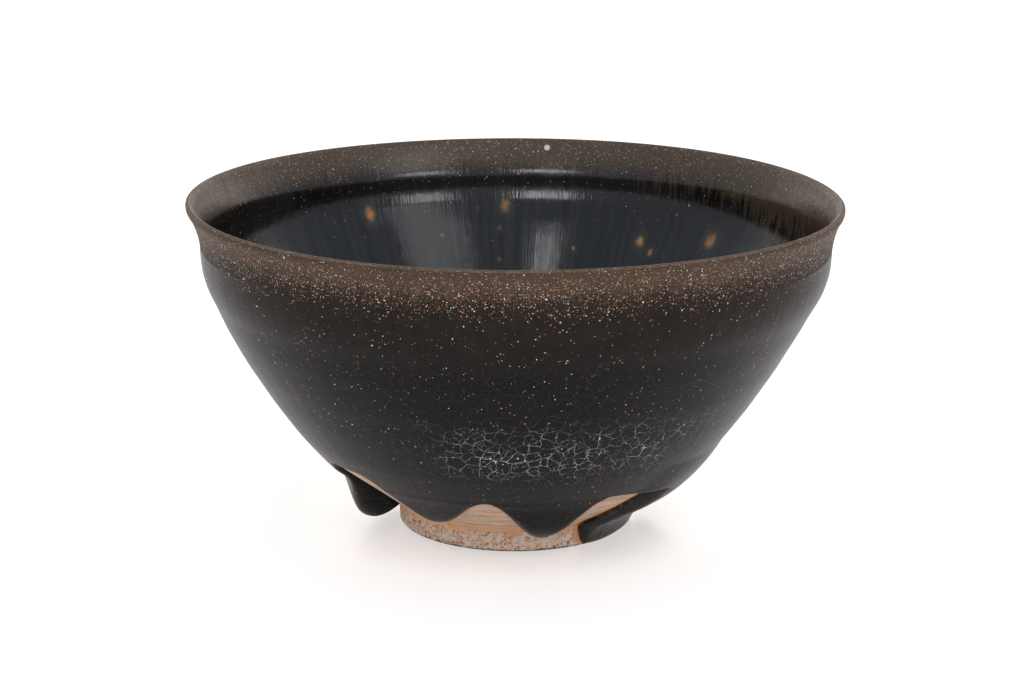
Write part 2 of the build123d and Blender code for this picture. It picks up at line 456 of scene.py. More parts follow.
def face_normals_out(piece):
    """Turns every face of a closed piece outwards."""
    shape = bmesh.new()
    shape.from_mesh(piece.data)
    bmesh.ops.recalc_face_normals(shape, faces=shape.faces)
    shape.to_mesh(piece.data)
    shape.free()


def turn(columns):
    """Evenly spaced azimuths once round the bowl."""
    return 360.0 * np.arange(columns) / columns


# ---- the outside coat with its drips ----

COAT_COLUMNS = 840
COAT_TOP_Y = -9.0  # above this the coat's lines are plain meridians
LOWER_ROWS = 46  # rows of the coat's face from its edge up to COAT_TOP_Y
WALL_ROWS = 45  # rows from there up to the neck
BACK_ROWS = [0, 4, 9, 14, 20, 26, 33, 40, 45, 52, 60, 68, 76, 84, 90]  # rows that the back repeats


def fitted_lines(azimuth, edge, rows=25, sweeps=1500):
    """Lines from the coat's edge up to a level circle that never cross: a grid relaxed till it is smooth."""
    scale = radians(EDGE_RADIUS)
    columns = len(azimuth)
    circle = azimuth[0] + turn(columns)
    v = np.linspace(0, 1, rows)[:, None]
    x = ((1 - v) * azimuth + v * circle) * scale
    y = (1 - v) * edge + v * COAT_TOP_Y
    full_turn = 360.0 * scale

    def beside(grid, jump):
        """The grid's next and previous columns, with the jump at the seam."""
        ahead = np.concatenate([grid[:, 1:], grid[:, :1] + jump], axis=1)
        behind = np.concatenate([grid[:, -1:] - jump, grid[:, :-1]], axis=1)
        return ahead, behind

    for _ in range(sweeps):
        xa, xb = beside(x, full_turn)
        ya, yb = beside(y, 0.0)
        xk, yk = (xa - xb)[1:-1] / 2, (ya - yb)[1:-1] / 2
        xe, ye = (x[2:] - x[:-2]) / 2, (y[2:] - y[:-2]) / 2
        along, across, skew = xe**2 + ye**2, xk**2 + yk**2, xk * xe + yk * ye
        for grid, ahead, behind in ((x, xa, xb), (y, ya, yb)):
            twist = (ahead[2:] - behind[2:] - ahead[:-2] + behind[:-2]) / 4
            total = along * (ahead + behind)[1:-1] + across * (grid[2:] + grid[:-2]) - 2 * skew * twist
            grid[1:-1] += 0.9 * (total / (2 * (along + across)) - grid[1:-1])
    return x / scale, y


def crowded(count, start):
    """Values from 0 to 1 that begin with steps of `start` times the even step."""
    w = np.linspace(0, 1, count)
    return start * w + (1 - start) * w**2


def coat_lines():
    """Azimuths and distances below the ridge of the coat's lower rows, from its edge up."""
    fine = np.linspace(WEDGE_RIGHT - 360, WEDGE_RIGHT, 40001)
    line = np.stack([fine * radians(EDGE_RADIUS), coat_edge(fine)], axis=-1)
    spaced = at_length(line, np.linspace(0, run_length(line)[-1], COAT_COLUMNS + 1)[:-1])
    azimuth = spaced[:, 0] / radians(EDGE_RADIUS)
    azimuths, ys = fitted_lines(azimuth, coat_edge(azimuth))
    rows = crowded(LOWER_ROWS, 0.15)
    lower_azimuth = np.empty((LOWER_ROWS, COAT_COLUMNS))
    lower_y = np.empty((LOWER_ROWS, COAT_COLUMNS))
    for j in range(COAT_COLUMNS):
        path = np.stack([azimuths[:, j] * radians(EDGE_RADIUS), ys[:, j]], axis=-1)
        along = at_length(path, rows * run_length(path)[-1])
        lower_azimuth[:, j] = along[:, 0] / radians(EDGE_RADIUS)
        lower_y[:, j] = along[:, 1]
    return lower_azimuth, lower_y


def outer_coat():
    """The coat on the outside, from its dripping edge up to the neck."""
    azimuth, y = coat_lines()
    wall_y = np.linspace(COAT_TOP_Y, -RIDGE_AT, WALL_ROWS + 1)[1:]
    azimuth = np.concatenate([azimuth, np.broadcast_to(azimuth[-1], (WALL_ROWS, COAT_COLUMNS))])
    y = np.concatenate([y, np.broadcast_to(wall_y[:, None], (WALL_ROWS, COAT_COLUMNS))])
    turned = azimuth % 360
    run_share = smooth(turned, WEDGE_LEFT - WEDGE_FADE, WEDGE_LEFT)
    run_share = run_share * (1 - smooth(turned, WEDGE_RIGHT, WEDGE_RIGHT + WEDGE_FADE))
    face = glaze_face(azimuth, y, run_share)
    back = on_clay(azimuth[BACK_ROWS], y[BACK_ROWS])
    return tube_piece("outer_coat", np.concatenate([face[::-1], back]))


# ---- the run over the foot ----

SIDE_POINTS = 400  # points of each side of the run's patch


def on_side(side, share):
    """Points at given shares of the way along a side of the patch."""
    even = np.linspace(0, 1, SIDE_POINTS)
    return np.stack([np.interp(share, even, side[:, i]) for i in (0, 1)], axis=-1)


def foot_run_coat():
    """The run, a patch spread between its four sides and crowded towards its free edges."""
    rows, columns = 120, 130
    u = np.linspace(0, 1, columns)
    u = u - 0.6 * np.sin(tau * u) / tau
    v = np.linspace(0, 1, rows)
    v = v - 0.3 * (v**2 - v)
    left, right, toe = (edge_line(points, SIDE_POINTS) for points in (RUN_LEFT, RUN_RIGHT, RUN_TOE))
    seam = np.linspace(WEDGE_LEFT, WEDGE_RIGHT, SIDE_POINTS)
    top = np.stack([seam, np.full(SIDE_POINTS, SEAM_Y)], axis=-1)
    a, b = u[None, :, None], v[:, None, None]
    sides = (1 - a) * on_side(left, v)[:, None] + a * on_side(right, v)[:, None]
    ends = (1 - b) * on_side(top, u)[None] + b * on_side(toe, u)[None]
    corners = (1 - a) * (1 - b) * top[0] + a * (1 - b) * top[-1] + (1 - a) * b * toe[0] + a * b * toe[-1]
    grid = sides + ends - corners
    azimuth, y = grid[..., 0], grid[..., 1]
    face = glaze_face(azimuth, y, np.ones_like(y))
    piece = pillow_piece("foot_run_coat", face, on_clay(azimuth, y))
    edge = distance_to_edge(in_space(clay_at(y)[0], azimuth))
    note(piece, "edge", np.concatenate([edge.ravel(), edge.ravel()]))
    return piece


# ---- the lip, the inside and the clay ----

LIP_COLUMNS = 720
LIP_BACK_ROWS = 24


def lip_coat():
    """The thin coat over the lip, from neck to neck. Its point attribute "inward" runs from 0 at the neck
    outside to 1 at the neck inside, and the faces of the inner half take the second material."""
    along = run_length(lip_face)
    depth = 0.36 + 0.14 * np.abs(2 * along / along[-1] - 1) + SEAM_LAP
    face = lip_face[::2]
    if len(lip_face) % 2 == 0:
        face = np.concatenate([face, lip_face[-1:]])
    back = face - path_normals(face) * np.interp(run_length(face), along, depth)[:, None]
    picked = np.unique(np.linspace(0, len(face) - 1, LIP_BACK_ROWS).astype(int))[::-1]
    azimuths = turn(LIP_COLUMNS)
    rings = np.concatenate([revolved(face, azimuths), revolved(back[picked], azimuths)])
    piece = tube_piece("lip_coat", rings)
    inward = np.concatenate([np.linspace(0, 1, len(face)), np.linspace(1, 0, LIP_BACK_ROWS)])
    note(piece, "inward", np.repeat(inward, LIP_COLUMNS))
    for polygon in piece.data.polygons:
        polygon.material_index = int(inward[polygon.vertices[0] // LIP_COLUMNS] > 0.49)
    return piece


def inner_coat():
    """The coat inside, from the neck down to the pool at the bottom of the well."""
    azimuths = turn(420)
    face = inside_face[:-1:2]
    back = inside_face - path_normals(inside_face) * (inside_thickness + SEAM_LAP)[:, None]
    picked = np.unique(np.linspace(0, len(inside_face) - 12, 26).astype(int))
    rings = np.concatenate([revolved(face, azimuths)[::-1], revolved(back[picked], azimuths)])
    bottom = inside_face[-1, 1]
    low = bottom - inside_thickness[-1] - SEAM_LAP
    return dome_piece("inner_coat", rings, (0.0, 0.0, bottom), (0.0, 0.0, low))


def clay_turned():
    """The clay, from the middle of the hollow under the foot, round the outside and over the lip, to the
    middle of the well. Its point attribute "edge" is the distance to the glaze's free edge."""
    ring_inner = FOOT_RADIUS - FOOT_WALL
    hollow = curve_through([(0.4, FOOT_RECESS - 0.25), (6.0, FOOT_RECESS), (13.0, FOOT_RECESS + 0.1)], 0.6)
    wall = rounded_corner((13.0, FOOT_RECESS), (ring_inner - 0.6, FOOT_RECESS), (ring_inner, 0), 1.6)
    toe = np.concatenate([
        [(ring_inner - 0.05, 0.35), (ring_inner + 0.3, 0.0)],
        np.linspace((ring_inner + 0.7, 0.0), (FOOT_RADIUS - 1.0, 0.0), 8),
        [(FOOT_RADIUS - 0.55, 0.12)],
    ])
    seen = np.arange(RIDGE_AT - 4.6, clay_along[-1] - 0.5, 0.28)
    unseen = np.linspace(0, RIDGE_AT - 5.2, 20)
    bare, hidden = (clay_outside[np.searchsorted(clay_along, where)] for where in (seen, unseen))
    lip_back = (lip_face - path_normals(lip_face) * 0.45)[::4]
    inner_back = (inside_face - path_normals(inside_face) * inside_thickness[:, None])[:-8:8]
    section = np.concatenate([hollow, wall, toe, bare[::-1], hidden[::-1], lip_back[1:-1], inner_back])
    rings = revolved(section, turn(400))
    centre = (0.0, 0.0, FOOT_RECESS - 0.25)
    top = (0.0, 0.0, inside_face[-1, 1] - inside_thickness[-1])
    piece = dome_piece("clay_turned", rings, centre, top)
    note(piece, "edge", np.append(distance_to_edge(rings), [50.0, 50.0]))
    return piece


coat = outer_coat()
run = foot_run_coat()
lip = lip_coat()
well = inner_coat()
clay = clay_turned()
for piece in (coat, run, lip, well, clay):
    face_normals_out(piece)
    sharpen(piece)
    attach(piece, "root")

drip_nodes = [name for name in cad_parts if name.startswith("glaze_drip")]
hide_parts("outer_glaze", *drip_nodes)
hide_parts("glaze_foot_run")
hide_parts("lip_glaze")
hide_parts("inner_glaze")
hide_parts("clay_body")


# ---- materials ----

BLACK = (0.0040, 0.0036, 0.0038)
SOOT = (0.0165, 0.0120, 0.0095)
BROWN = (0.0395, 0.0275, 0.0200)
PALE_BROWN = (0.090, 0.059, 0.041)
CREAM = (0.68, 0.60, 0.50)
ORANGE = (0.50, 0.20, 0.075)
CRACKLE = (0.78, 0.77, 0.74)
FAINT_CRACKLE = (0.046, 0.036, 0.028)
INSIDE_BROWN = (0.046, 0.0295, 0.0155)
INSIDE_PALE_BROWN = (0.112, 0.075, 0.043)
HANGING_BROWN = (0.064, 0.041, 0.026)
BAND_BLACK = (0.0048, 0.0040, 0.0034)
# painted reflection: the grey that the black band inside turns to at the back of the bowl
BAND_REFLECTION_GREY = (0.015, 0.0145, 0.0155)
WELL_BLACK = (0.0020, 0.0036, 0.0062)
WELL_BLUE = (0.0125, 0.0145, 0.0180)
SPOT_OLIVE = (0.060, 0.062, 0.040)
SPOT_ORANGE = (0.58, 0.260, 0.085)
DOT_CREAM = (0.80, 0.76, 0.64)
CREST_TAN = (0.20, 0.140, 0.105)
RUN_BLACK = (0.0045, 0.0042, 0.0040)
RUN_GREY = (0.013, 0.0115, 0.0095)
RUN_FLECK = (0.10, 0.045, 0.025)
RUN_EDGE = (0.15, 0.062, 0.03)
CLAY_TAN = (0.44, 0.265, 0.175)
CLAY_PINK = (0.385, 0.272, 0.200)
CLAY_PALE = (0.58, 0.435, 0.335)
CLAY_LINE = (0.23, 0.130, 0.085)
RING_WHITE = (0.56, 0.46, 0.40)
RING_RUST = (0.55, 0.22, 0.080)
RING_ORANGE = (0.58, 0.29, 0.12)
GRIT_BLACK = (0.045, 0.030, 0.025)
GRIT_RED = (0.22, 0.085, 0.04)
BURNT_BLACK = (0.040, 0.032, 0.028)
EDGE_ORANGE = (0.47, 0.195, 0.085)
EDGE_BROWN = (0.12, 0.05, 0.028)
FLOOR_PAINT = (1.0, 0.97, 0.95)
FLOOR_LIGHT = (1.0, 0.965, 0.945, 1)
FLOOR_STRENGTH = 0.59

CRACK_RADIUS = 48.0  # the outside is unrolled at this radius for its net of cracks
CRACK_SLOPE = 1.2  # mm along the wall for each mm of height
SPECKS = [  # size of the cells, smallest and largest radius, share when dense, share when sparse, seed
    (0.27, 0.045, 0.105, 0.60, 0.05, 5),
    (0.46, 0.06, 0.14, 0.48, 0.06, 6),
    (1.4, 0.10, 0.23, 0.32, 0.09, 7),
]
CLAY_GRIT = [  # size of the cells, smallest and largest radius, share of the cells, seed
    (0.5, 0.09, 0.2, 0.5, 56),
    (1.0, 0.14, 0.34, 0.5, 57),
]
SPOTS = [  # orange spots inside: azimuth, radius, height, radius of the spot, strength
    (-148.0, 55.8, 50.0, 1.5, 0.9),
    (-178.0, 55.8, 50.2, 1.4, 0.8),
    (-176.6, 53.8, 45.8, 0.7, 0.5),
    (-172.0, 55.6, 49.6, 0.5, 0.8),
    (-163.8, 53.4, 44.5, 0.45, 0.6),
    (-176.4, 50.4, 39.2, 0.5, 0.6),
    (166.2, 51.8, 41.8, 0.45, 0.7),
    (150.9, 53.2, 44.5, 1.2, 0.8),
    (133.5, 54.4, 47.0, 1.7, 0.8),
    (147.7, 52.1, 42.6, 0.8, 0.6),
    (-60.0, 52.0, 41.0, 1.4, 0.8),
    (20.0, 46.0, 32.0, 1.6, 0.8),
    (85.0, 54.5, 46.5, 1.2, 0.7),
]
SPOT_SQUASH = 0.58  # heights are squashed by this where the spots are measured, so they are taller than wide
PALE_DOT = (173.5, 59.8, 61.4)  # the one pale dot on the lip: azimuth, radius, height


class Paint:
    """A material worked out from the place on the bowl: x, y and z in mm, from its axis and its foot."""

    def __init__(self, name):
        self.material = bpy.data.materials.new(name)
        self.material.use_nodes = True
        self.tree = self.material.node_tree
        self.shader = self.tree.nodes["Principled BSDF"]
        self.place = self.vector("SCALE", self.node("ShaderNodeTexCoord").outputs["Object"], scale=1 / MM)
        self.x, self.y, self.z = self.node("ShaderNodeSeparateXYZ", Vector=self.place).outputs
        flat = self.node("ShaderNodeCombineXYZ", X=self.x, Y=self.y, Z=0.0).outputs[0]
        self.around = self.vector("SCALE", self.vector("NORMALIZE", flat), scale=RIM_RADIUS)
        self.ragged_place = self.warped(0.45, 0.28, 0)
        turned = self.math("ARCTAN2", self.x, self.math("MULTIPLY", self.y, -1.0))
        self.azimuth = self.math("MULTIPLY", turned, 180 / pi)

    def node(self, kind, settings=None, **inputs):
        """A new node with its settings, and its inputs linked or filled in."""
        made = self.tree.nodes.new(kind)
        for key, value in (settings or {}).items():
            setattr(made, key, value)
        for key, value in inputs.items():
            self.put(made.inputs[key.replace("_", " ")], value)
        return made

    def put(self, socket, value):
        """Links an output to a socket, or fills in a value."""
        if isinstance(value, bpy.types.NodeSocket):
            self.tree.links.new(value, socket)
        elif isinstance(value, tuple) and len(value) == 3 and socket.type == "RGBA":
            socket.default_value = (*value, 1.0)
        else:
            socket.default_value = value

    def math(self, operation, *terms):
        """The result of a maths node."""
        made = self.node("ShaderNodeMath", {"operation": operation})
        for socket, term in zip(made.inputs, terms):
            self.put(socket, term)
        return made.outputs[0]

    def vector(self, operation, a, b=None, scale=None):
        """The result of a vector maths node."""
        made = self.node("ShaderNodeVectorMath", {"operation": operation})
        self.put(made.inputs[0], a)
        if b is not None:
            self.put(made.inputs[1], b)
        if scale is not None:
            self.put(made.inputs["Scale"], scale)
        return made.outputs["Value" if operation in ("DISTANCE", "LENGTH") else "Vector"]

    def step(self, value, low, high, start=0.0, end=1.0):
        """An S-curve from start, where value is low, to end, where it is high."""
        made = self.node("ShaderNodeMapRange", {"interpolation_type": "SMOOTHSTEP"}, Value=value)
        for key, number in (("From Min", low), ("From Max", high), ("To Min", start), ("To Max", end)):
            self.put(made.inputs[key], number)
        return made.outputs[0]

    def mix(self, share, a, b):
        """Colour a where share is 0, and b where it is 1."""
        made = self.node("ShaderNodeMix", {"data_type": "RGBA"})
        self.put(made.inputs[0], share)
        self.put(made.inputs[6], a)
        self.put(made.inputs[7], b)
        return made.outputs[2]

    def both(self, *shares):
        """The product of all the shares."""
        total = shares[0]
        for share in shares[1:]:
            total = self.math("MULTIPLY", total, share)
        return total

    def band(self, value, low, high, soft):
        """1 where value is between low and high, with soft ends."""
        rise = self.step(value, low - soft, low + soft)
        return self.both(rise, self.step(value, high - soft, high + soft, 1.0, 0.0))

    def noise(self, size, seed, detail=2.0, rough=0.5, where=None):
        """Cloudy noise about 0.5, in lumps of a given size in mm."""
        start = self.place if where is None else where
        spot = self.vector("ADD", start, (seed * 71.3, seed * 37.9, seed * 53.1))
        made = self.node("ShaderNodeTexNoise", Vector=spot, Scale=1 / size, Detail=detail, Roughness=rough)
        return made.outputs["Fac"]

    def swing(self, value, amount):
        """Noise about 0.5 turned into noise about 0, and times an amount."""
        return self.math("MULTIPLY", self.math("SUBTRACT", value, 0.5), amount)

    def point_number(self, name):
        """The number that note() gave each point of the piece."""
        return self.node("ShaderNodeAttribute", {"attribute_name": name}).outputs["Fac"]

    def streaks(self, width, length, seed, detail=2.0):
        """Noise drawn out down the bowl: width is across the streaks, in mm at the rim."""
        x, y, _ = self.node("ShaderNodeSeparateXYZ", Vector=self.around).outputs
        tall = self.math("MULTIPLY", self.z, width / length)
        where = self.node("ShaderNodeCombineXYZ", X=x, Y=y, Z=tall).outputs[0]
        return self.noise(width, seed, detail, 0.5, where)

    def warped(self, size, amount, seed):
        """The place, pushed about by noise."""
        spot = self.vector("ADD", self.place, (seed * 31.7, seed * 17.3, seed * 43.9))
        made = self.node("ShaderNodeTexNoise", Vector=spot, Scale=1 / size, Detail=1.0)
        push = self.vector("SUBTRACT", made.outputs["Color"], (0.5, 0.5, 0.5))
        return self.vector("ADD", spot, self.vector("SCALE", push, scale=amount))

    def specks(self, cell, small, large, share, seed):
        """Round specks of random size in a share of the cells. Gives their mask and a random number each."""
        spot = self.vector("ADD", self.ragged_place, (seed * 13.7, seed * 29.3, seed * 7.9))
        made = self.node("ShaderNodeTexVoronoi", Vector=spot, Scale=1 / cell)
        chance, size, tint = self.node("ShaderNodeSeparateColor", Color=made.outputs["Color"]).outputs
        radius = self.step(size, 0.0, 1.0, small / cell, large / cell)
        far = self.math("DIVIDE", made.outputs["Distance"], radius)
        chosen = self.math("LESS_THAN", chance, share)
        return self.both(self.step(far, 0.7, 1.15, 1.0, 0.0), chosen), tint

    def cracks(self, cell, width, seed, warp):
        """A net of fine lines over the outside, unrolled about the back of the bowl."""
        across = self.math("MULTIPLY", self.azimuth, radians(CRACK_RADIUS))
        up = self.math("MULTIPLY", self.z, CRACK_SLOPE)
        sheet = self.node("ShaderNodeCombineXYZ", X=across, Y=up, Z=0.0).outputs[0]
        flat = {"noise_dimensions": "2D"}
        for size, amount, number in ((cell, warp, seed), (cell * 0.28, warp * 0.22, seed + 0.5)):
            spot = self.vector("ADD", sheet, (number * 31.7, number * 17.3, 0.0))
            made = self.node("ShaderNodeTexNoise", flat, Vector=spot, Scale=1 / size, Detail=1.0)
            push = self.vector("SUBTRACT", made.outputs["Color"], (0.5, 0.5, 0.5))
            sheet = self.vector("ADD", sheet, self.vector("SCALE", push, scale=amount))
        settings = {"feature": "DISTANCE_TO_EDGE", "voronoi_dimensions": "2D"}
        made = self.node("ShaderNodeTexVoronoi", settings, Vector=sheet, Scale=1 / cell)
        return self.step(made.outputs["Distance"], 0.3 * width / cell, width / cell, 1.0, 0.0)

    def finish(self, colour, roughness, height, specular):
        """Joins colour, roughness and a height in mm to the shader."""
        self.put(self.shader.inputs["Base Color"], colour)
        self.put(self.shader.inputs["Roughness"], roughness)
        bump = self.node("ShaderNodeBump", Height=height, Distance=MM, Strength=1.0)
        self.put(self.shader.inputs["Normal"], bump.outputs["Normal"])
        self.shader.inputs["Specular IOR Level"].default_value = specular
        self.shader.inputs["IOR"].default_value = 1.5
        return self.material


def brown_and_specks(m, base, brown, dense, lowest, dark=BROWN, light=PALE_BROWN):
    """The rusty brown that the glaze breaks to over the rim, with its grain and its pale and orange specks.
    brown is 1 in the full brown, dense is 1 where specks are thickest, lowest where a few may still lie."""
    grain = m.swing(m.noise(0.26, 3, 2.0, 0.8), 1.5)
    covered = m.step(m.math("ADD", brown, grain), 0.2, 0.8)
    covered = m.math("MULTIPLY", covered, m.step(brown, 0.0, 0.12))
    pale = m.math("ADD", m.swing(m.noise(5.0, 4, 3.0), 0.5), grain)
    rust = m.mix(m.step(pale, -0.5, 0.6), dark, light)
    colour = m.mix(covered, base, rust)
    for cell, small, large, full, sparse, seed in SPECKS:
        share = m.math("ADD", m.both(dense, full), m.both(lowest, sparse))
        mask, tint = m.specks(cell, small, large, share, seed)
        shade = m.mix(m.step(tint, 0.5, 0.85), ORANGE, CREAM)
        colour = m.mix(m.both(mask, m.step(tint, 0.0, 1.0, 0.35, 0.95)), colour, shade)
    return colour


def outside_level(m):
    """Height in mm, made ragged: where the brown gives way to the black."""
    ragged = m.swing(m.noise(9.0, 1, 3.0), 4.0)
    teeth = m.swing(m.streaks(1.6, 9.0, 2), 3.0)
    return m.math("ADD", m.z, m.math("ADD", ragged, teeth))


def outside_rim(m, base, level):
    """The outside's brown and specks over a base colour. Gives the colour and the share of brown."""
    brown = m.step(level, NECK_Z - 0.8, NECK_Z + 7.4)
    fewer = m.step(m.z, RIM_Z - 2.5, RIM_Z - 0.5, 1.0, 0.5)
    dense = m.both(m.step(level, NECK_Z - 2.5, NECK_Z + 2.5), fewer)
    lowest = m.step(level, 16.0, NECK_Z - 2.0, 0.4, 1.0)
    return brown_and_specks(m, base, brown, dense, lowest), brown


def crest_line(m, colour):
    """A thin pale line along the crest of the lip, where the glaze ran thin."""
    worn = m.step(m.noise(1.0, 31, 2.0), 0.3, 0.6, 0.25, 0.9)
    return m.mix(m.both(m.band(m.point_number("inward"), 0.470, 0.488, 0.010), worn), colour, CREST_TAN)


def outside_glaze(name):
    """The outside coat: black and semi-gloss, brown and speckled below the rim, crackled white low down."""
    m = Paint(name)
    level = outside_level(m)
    sooty = m.step(level, 40.0, NECK_Z - 1.0)
    tone = m.noise(3.0, 8, 4.0)
    base = m.mix(m.both(sooty, m.step(tone, 0.3, 0.7, 0.5, 1.0)), BLACK, SOOT)
    colour, brown = outside_rim(m, base, level)
    front = m.both(m.band(m.azimuth, -14.0, 42.0, 16.0), m.band(level, 21.5, 31.0, 4.0))
    bright = m.both(front, m.step(m.noise(5.0, 9, 3.0), 0.36, 0.66, 0.12, 1.0))
    coarse = m.cracks(2.5, 0.052, 10, 1.5)
    fine = m.cracks(1.35, 0.036, 11, 0.8)
    net = m.math("MAXIMUM", coarse, m.both(fine, m.step(m.noise(2.2, 12), 0.45, 0.6), 0.8))
    broken = m.step(m.noise(0.9, 13, 3.0), 0.32, 0.66, 0.25, 1.0)
    veiled = m.both(m.step(level, 42.0, 50.0, 0.6, 0.0), m.band(m.azimuth, -160.0, 160.0, 15.0))
    colour = m.mix(m.both(net, broken, veiled), colour, FAINT_CRACKLE)
    colour = m.mix(m.both(net, broken, bright), colour, CRACKLE)
    dots, _ = m.specks(1.2, 0.08, 0.2, 0.55, 14)
    colour = m.mix(m.both(dots, bright, 0.9), colour, CRACKLE)
    brushed = m.step(m.streaks(2.0, 26.0, 15), 0.3, 0.7, -0.02, 0.03)
    rough = m.math("ADD", m.step(brown, 0.0, 0.7, 0.32, 0.56), brushed)
    peel = m.math("MULTIPLY", m.noise(1.4, 16, 3.0), 0.03)
    runnels = m.both(m.streaks(1.3, 10.0, 17), m.band(m.z, 44.0, 54.0, 3.0), 0.035)
    grit = m.both(m.noise(0.35, 18, 2.0), m.step(brown, 0.0, 1.0, 0.004, 0.03))
    height = m.math("ADD", m.math("ADD", peel, runnels), m.math("SUBTRACT", grit, m.both(net, bright, 0.02)))
    return m.finish(colour, rough, height, 0.10)


def on_wall(azimuth, radius, height):
    """A place in mm from its azimuth in degrees, its radius and its height."""
    return radius * sin(radians(azimuth)), -radius * cos(radians(azimuth)), height


def inside_glaze(name):
    """The glaze inside: brown under the lip, a black band with a painted reflection that greys it at the
    back, then the deep well with its orange spots.
    """
    m = Paint(name)
    teeth = m.swing(m.streaks(0.7, 8.0, 21, 3.0), 3.0)
    ragged = m.swing(m.noise(8.0, 22, 2.0), 3.0)
    right = m.band(m.azimuth, 100.0, 155.0, 16.0)
    long_streaks = m.step(m.streaks(0.9, 9.0, 30), 0.35, 0.65, 2.2, 7.0)
    hanging = m.both(m.band(m.azimuth, 86.0, 130.0, 14.0), long_streaks)
    uneven = m.math("ADD", m.z, ragged)
    level = m.math("ADD", uneven, m.both(teeth, m.step(right, 0.0, 1.0, 1.0, 1.9)))
    brown = m.step(m.math("ADD", level, hanging), NECK_Z - 0.9, NECK_Z + 7.3)
    fur = m.both(
        m.step(m.streaks(0.6, 7.0, 23, 3.0), 0.49, 0.60),
        m.step(m.z, NECK_Z - 4.5, NECK_Z + 1.5),
        m.step(right, 0.0, 1.0, 0.15, 1.0),
    )
    well = m.step(uneven, NECK_Z - 5.5, NECK_Z - 2.0, 1.0, 0.0)
    blue = m.step(m.streaks(1.6, 30.0, 24, 4.0), 0.38, 0.66)
    # painted reflection: the black band turns grey towards the back of the bowl, from y 40 to 56 mm
    band = m.mix(m.step(m.y, 40.0, 56.0), BAND_BLACK, BAND_REFLECTION_GREY)
    base = m.mix(well, band, m.mix(blue, WELL_BLACK, WELL_BLUE))
    base = m.mix(m.both(fur, 0.85), base, HANGING_BROWN)
    dense = m.step(m.z, NECK_Z + 1.0, NECK_Z + 6.0, 0.0, 0.6)
    lowest = m.step(m.z, NECK_Z - 8.0, NECK_Z, 0.04, 1.0)
    colour = brown_and_specks(m, base, brown, dense, lowest, INSIDE_BROWN, INSIDE_PALE_BROWN)
    squat = m.vector("MULTIPLY", m.warped(1.3, 0.9, 0), (1.0, 1.0, SPOT_SQUASH))
    for *place, size, strength in SPOTS:
        x, y, z = on_wall(*place)
        far = m.vector("DISTANCE", squat, (x, y, z * SPOT_SQUASH))
        halo = m.step(far, size * 0.6, size * 2.0, 0.55, 0.0)
        middle = m.step(far, size * 0.15, size, 1.0, 0.0)
        colour = m.mix(m.both(halo, strength), colour, SPOT_OLIVE)
        colour = m.mix(m.both(middle, strength), colour, SPOT_ORANGE)
    far = m.vector("DISTANCE", m.place, on_wall(*PALE_DOT))
    colour = m.mix(m.step(far, 0.45, 0.75, 0.95, 0.0), colour, DOT_CREAM)
    colour = crest_line(m, colour)
    brushed = m.step(m.streaks(2.0, 30.0, 26), 0.3, 0.7, 0.10, 0.20)
    rough = m.math("ADD", m.step(m.z, NECK_Z + 2.0, RIM_Z, 0.0, 0.32), brushed)
    furrows = m.both(m.streaks(0.6, 6.0, 29, 4.0), m.step(m.z, 45.0, 51.0, 0.018, 0.055))
    ripple = m.math("ADD", m.both(m.noise(3.2, 27, 2.0), 0.03), furrows)
    grit = m.both(m.noise(0.35, 28, 2.0), m.step(brown, 0.2, 1.0, 0.0, 0.03))
    return m.finish(colour, rough, m.math("ADD", ripple, grit), 0.5)


def lip_glaze(name):
    """The outside of the lip, brown and speckled up to its crest."""
    m = Paint(name)
    colour, _ = outside_rim(m, SOOT, outside_level(m))
    return m.finish(crest_line(m, colour), 0.56, m.both(m.noise(0.35, 18, 2.0), 0.03), 0.10)


def run_glaze(name):
    """The run over the foot: matt black, with brown flecks and a burnt edge."""
    m = Paint(name)
    colour = m.mix(m.step(m.noise(1.6, 41, 4.0), 0.4, 0.75), RUN_BLACK, RUN_GREY)
    mask, tint = m.specks(0.9, 0.1, 0.3, 0.28, 42)
    colour = m.mix(m.both(mask, m.step(tint, 0.0, 1.0, 0.2, 0.8)), colour, RUN_FLECK)
    ragged = m.math("ADD", m.point_number("edge"), m.swing(m.noise(0.8, 43, 3.0), 0.9))
    colour = m.mix(m.step(ragged, -0.1, 0.12, 0.5, 0.0), colour, RUN_EDGE)
    height = m.math("ADD", m.both(m.noise(0.8, 44, 3.0), 0.10), m.both(m.noise(2.5, 45, 2.0), 0.10))
    return m.finish(colour, m.step(m.noise(1.5, 46), 0.3, 0.7, 0.3, 0.5), height, 0.25)


